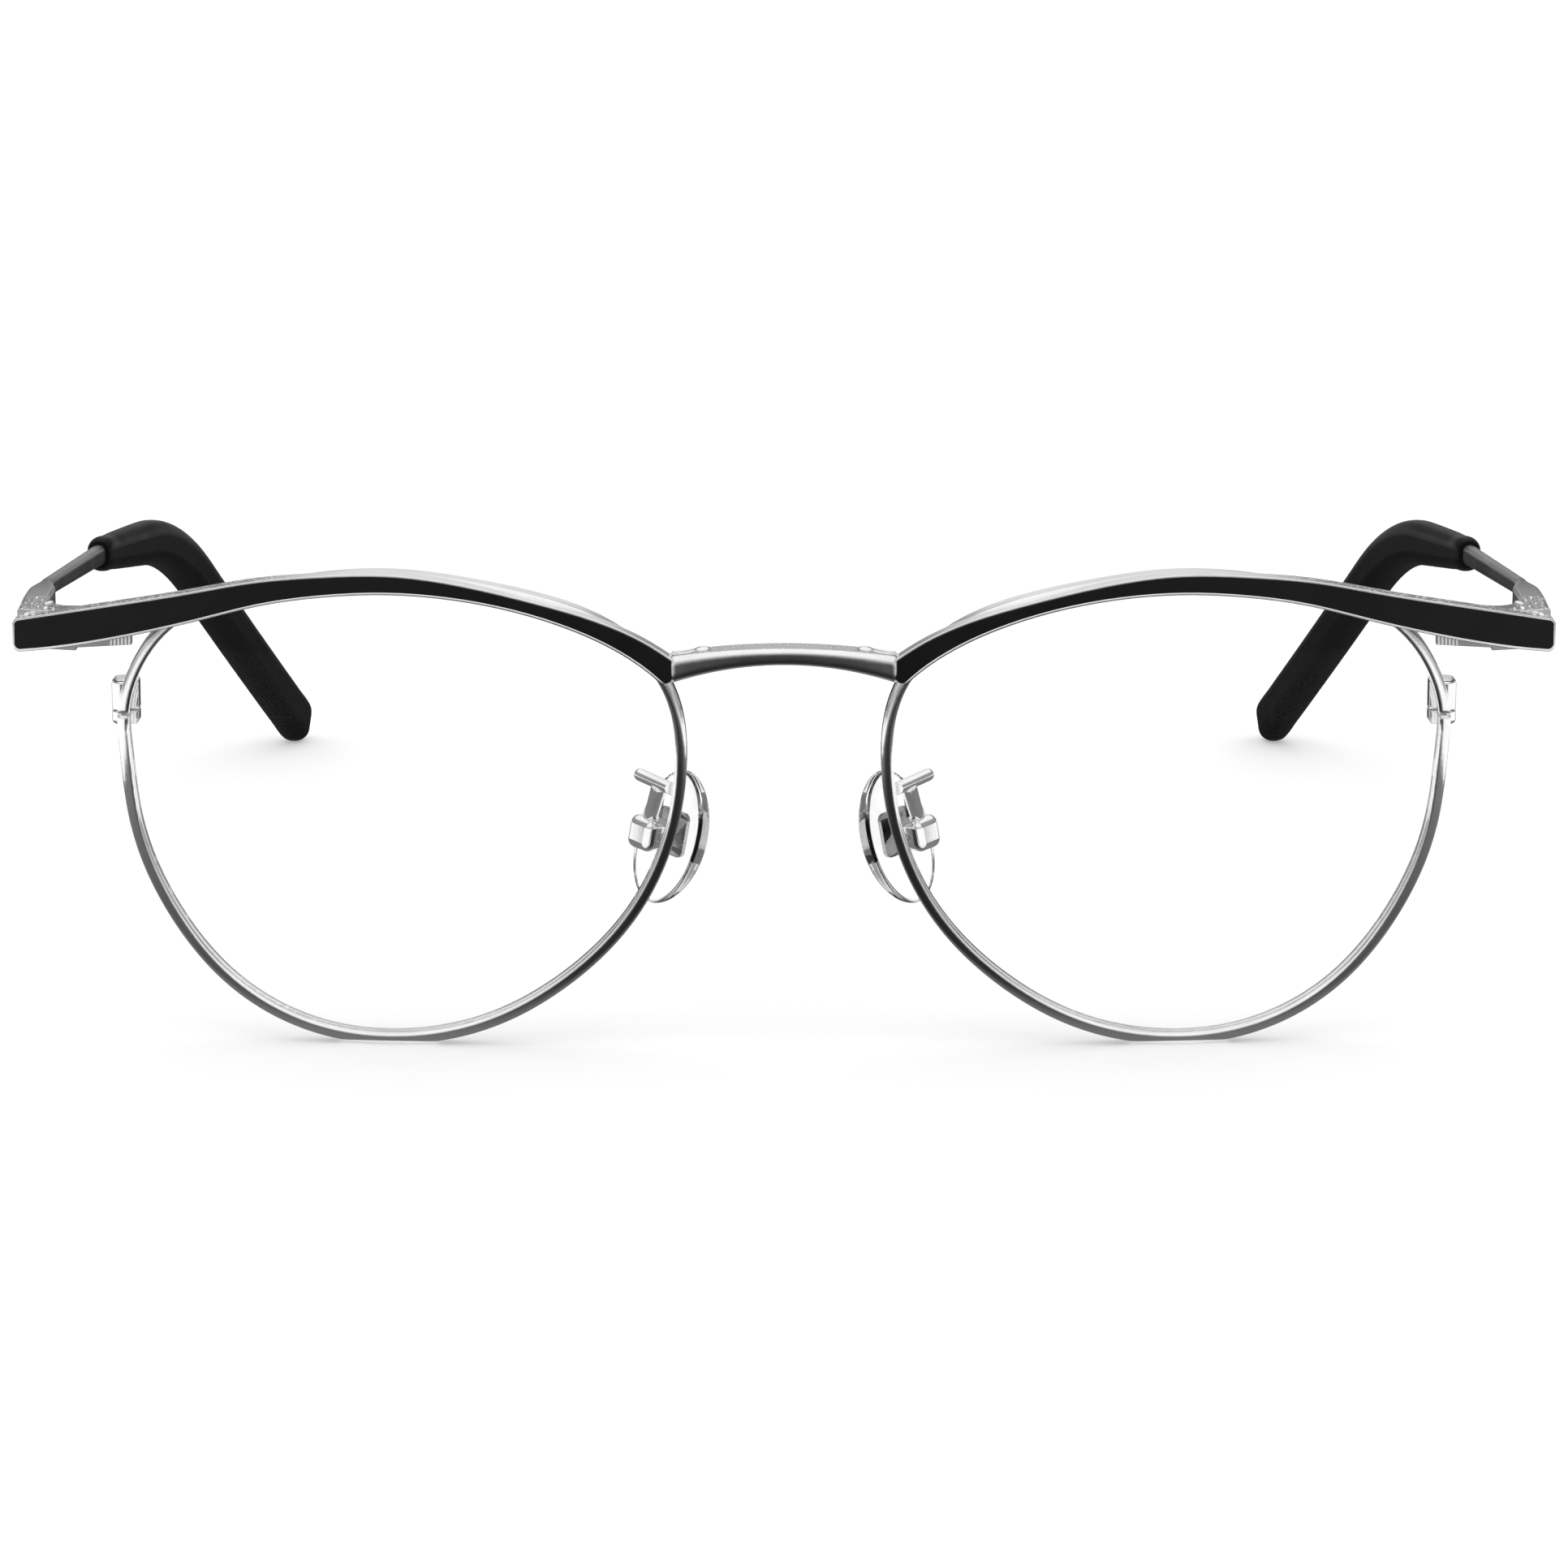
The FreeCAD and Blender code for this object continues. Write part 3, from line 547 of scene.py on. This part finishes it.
for row in frame["record"]["subparts"]:
    plain_name = row["node"].removeprefix("left_").removeprefix("right_")
    slots = frame["nodes"][row["node"]].data.materials
    slots.clear()
    slots.append(finishes[special_finishes.get(plain_name, row["material_slot"])])


# Ornaments

def surface_of(names):
    """Search trees of the solids that carry an ornament."""
    found = []
    for name in names:
        mesh = frame["nodes"][name].data
        corners = [vertex.co for vertex in mesh.vertices]
        found.append(BVHTree.FromPolygons(corners, [face.vertices for face in mesh.polygons]))
    return found


def seat_on(trees, x, y):
    """Highest place of the solids above a point of the floor, and its normal."""
    best_place, best_normal = None, None
    for tree in trees:
        place, normal = tree.ray_cast(Vector((x, y, search_height)), Vector((0, 0, -1)))[:2]
        if place and (best_place is None or place.z > best_place.z):
            best_place, best_normal = place, normal
    return best_place, best_normal


def add_bead(shape, place, normal, radii, turn):
    """Rounded bead sunk to its middle in the surface."""
    tilt = normal.to_track_quat("Z", "Y").to_matrix().to_4x4()
    size = Matrix.Diagonal((*radii, 1.0))
    matrix = Matrix.Translation(place) @ tilt @ Matrix.Rotation(turn, 4, "Z") @ size
    bmesh.ops.create_uvsphere(
        shape, u_segments=bead_segments, v_segments=bead_rings, radius=1.0, matrix=matrix,
    )


def add_wire_loop(shape, points, radius):
    """Round wire along a closed loop of points."""
    rings = []
    for index, point in enumerate(points):
        run = (points[(index + 1) % len(points)] - points[index - 1]).normalized()
        across = run.cross(Vector((0, 0, 1))).normalized()
        upward = across.cross(run)
        ring = []
        for side in range(wire_sides):
            angle = 2 * math.pi * side / wire_sides
            offset = math.cos(angle) * across + math.sin(angle) * upward
            ring.append(shape.verts.new(point + radius * offset))
        rings.append(ring)
    for index, ring in enumerate(rings):
        following = rings[(index + 1) % len(rings)]
        for side in range(wire_sides):
            beside = (side + 1) % wire_sides
            shape.faces.new((ring[side], ring[beside], following[beside], following[side]))


def finish_ornament(name, shape):
    """Turns the shape into a smooth silver piece of the front."""
    bmesh.ops.recalc_face_normals(shape, faces=shape.faces)
    mesh = bpy.data.meshes.new(name)
    shape.to_mesh(mesh)
    shape.free()
    mesh.polygons.foreach_set("use_smooth", [True] * len(mesh.polygons))
    mesh.materials.append(finishes["polished_silver"])
    piece = bpy.data.objects.new(name, mesh)
    bpy.context.scene.collection.objects.link(piece)
    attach(piece, "front")


def end_droplets(side, sign):
    """Raised droplets on the top of an end piece."""
    low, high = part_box(side + "_end_piece")
    outer = high.x if sign > 0 else low.x
    trees = surface_of([side + "_end_piece", side + "_brow_bar"])
    shape = bmesh.new()
    for from_outer, from_back, length, width, turn in droplets:
        place, normal = seat_on(trees, outer - sign * from_outer * MM, high.y - from_back * MM)
        if place:
            half = Vector((length, width, 2 * droplet_rise_share * min(length, width))) * MM / 2
            add_bead(shape, place, normal, half, sign * math.radians(turn))
    finish_ornament(side + "_end_droplets", shape)


def bridge_scroll(side, sign):
    """Almond loop and small knop on top of one end of the bridge."""
    low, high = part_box("bridge")
    middle_y = (low.y + high.y) / 2
    trees = surface_of(["bridge", side + "_brow_bar"])
    shape = bmesh.new()
    points = []
    for step in range(almond_steps):
        angle = 2 * math.pi * step / almond_steps
        along = math.cos(angle)
        across = math.copysign(1 - along ** 2, math.sin(angle))
        x = sign * (almond_centre + along * almond_half_length)
        y = middle_y + across * almond_half_width
        points.append(seat_on(trees, x, y)[0])
    add_wire_loop(shape, points, almond_wire)
    place, normal = seat_on(trees, sign * knop_centre, middle_y)
    add_bead(shape, place, normal, knop_radii, 0.0)
    finish_ornament(side + "_bridge_scroll", shape)


for side_name, side_sign in (("left", 1), ("right", -1)):
    end_droplets(side_name, side_sign)
    bridge_scroll(side_name, side_sign)


# Studio

def level_sheet(name, low, high, lift):
    """Level rectangle between two corners, measured from below the front."""
    corners = [(low[0], low[1], 0), (high[0], low[1], 0), (high[0], high[1], 0), (low[0], high[1], 0)]
    mesh = bpy.data.meshes.new(name)
    mesh.from_pydata(corners, [], [(0, 1, 2, 3)])
    sheet = bpy.data.objects.new(name, mesh)
    sheet.location = (0, front_y, lift)
    bpy.context.scene.collection.objects.link(sheet)
    return sheet


def floor_material():
    """Pale floor that reads as white and keeps a soft shadow."""
    material, tree, shader = new_material("floor_white")
    set_inputs(shader, Base_Color=(floor_tone, floor_tone, floor_tone, 1), Roughness=1.0,
               Specular_IOR_Level=0.0, Emission_Color=white)
    path = add_node(tree, "ShaderNodeLightPath").outputs
    seen = math_node(tree, "ADD", path["Is Camera Ray"], path["Is Glossy Ray"], clamp=True)
    seen = math_node(tree, "ADD", seen, path["Is Transmission Ray"], clamp=True)
    tree.links.new(times(tree, seen, floor_glow), shader.inputs["Emission Strength"])
    return material


def flag_material():
    """Dark flag, paler toward its sides and close behind the front."""
    material = bpy.data.materials.new("studio_flag")
    material.use_nodes = True
    tree = material.node_tree
    tree.nodes.clear()
    place = split_node(tree, object_place(tree))
    sideways = math_node(tree, "ABSOLUTE", place["X"])
    aside = range_node(tree, sideways, 0.0, flag_width / 2, *flag_tones)
    behind = range_node(tree, place["Y"], *flag_pale_start, 0.0, flag_pale_tone)
    far = range_node(tree, place["Y"], *flag_pale_end, 1.0, flag_far_share)
    tone = math_node(tree, "MAXIMUM", aside, times(tree, behind, far))
    emission = add_node(tree, "ShaderNodeEmission")
    tree.links.new(tone, emission.inputs["Strength"])
    output = add_node(tree, "ShaderNodeOutputMaterial")
    tree.links.new(emission.outputs[0], output.inputs["Surface"])
    return material


def studio_world():
    """White surroundings; the metal alone sees a band behind and beside, and the front horizon, darker."""
    world = bpy.data.worlds.new("studio")
    world.use_nodes = True
    tree = world.node_tree
    way = split_node(tree, add_node(tree, "ShaderNodeTexCoord").outputs["Generated"])
    above = range_node(tree, way["Z"], *band_bottom)
    below = range_node(tree, way["Z"], *band_top)
    behind = range_node(tree, way["Y"], *band_front)
    sideways = math_node(tree, "ABSOLUTE", way["X"])
    aside = range_node(tree, sideways, *band_middle, band_middle_share, 1.0)
    band = times(tree, times(tree, above, below), times(tree, behind, aside))
    band = times(tree, band, 1 - band_tone)
    low = range_node(tree, way["Z"], horizon_top, 0.0, 0.0, 1 - horizon_tone)
    ahead = range_node(tree, way["Y"], *reversed(band_front))
    dark = math_node(tree, "MAXIMUM", band, times(tree, low, ahead))
    path = add_node(tree, "ShaderNodeLightPath")
    dark = times(tree, dark, path.outputs["Is Glossy Ray"])
    strength = math_node(tree, "SUBTRACT", world_light, dark)
    tree.links.new(strength, tree.nodes["Background"].inputs["Strength"])
    set_inputs(tree.nodes["Background"], Color=white)
    bpy.context.scene.world = world


def build_studio():
    """White floor and surroundings, and a dark flag on the floor for the dark bands in the metal."""
    half = floor_size / 2
    floor = level_sheet("floor", (-half, -half), (half, half), 0.0)
    floor.data.materials.append(floor_material())
    flag = level_sheet("flag", (-flag_width / 2, -flag_front), (flag_width / 2, flag_back), flag_lift)
    flag.data.materials.append(flag_material())
    flag.visible_camera = False
    flag.visible_diffuse = False
    flag.visible_shadow = False
    flag.visible_transmission = False
    studio_world()


def build_camera():
    """Camera in front, a little above, aimed at the middle of the front."""
    data = bpy.data.cameras.new("camera")
    data.lens = camera_lens
    data.sensor_width = camera_sensor
    data.clip_start = camera_distance * clip_near_share
    data.clip_end = 2 * floor_size
    camera = bpy.data.objects.new("camera", data)
    aim = Vector((0, front_y, aim_height))
    back = Vector((0, -math.cos(camera_elevation), math.sin(camera_elevation)))
    camera.location = aim + back * camera_distance
    camera.rotation_euler = (-back).to_track_quat("-Z", "Y").to_euler()
    bpy.context.scene.collection.objects.link(camera)
    bpy.context.scene.camera = camera


build_studio()
build_camera()
bpy.context.scene.view_settings.view_transform = "Standard"
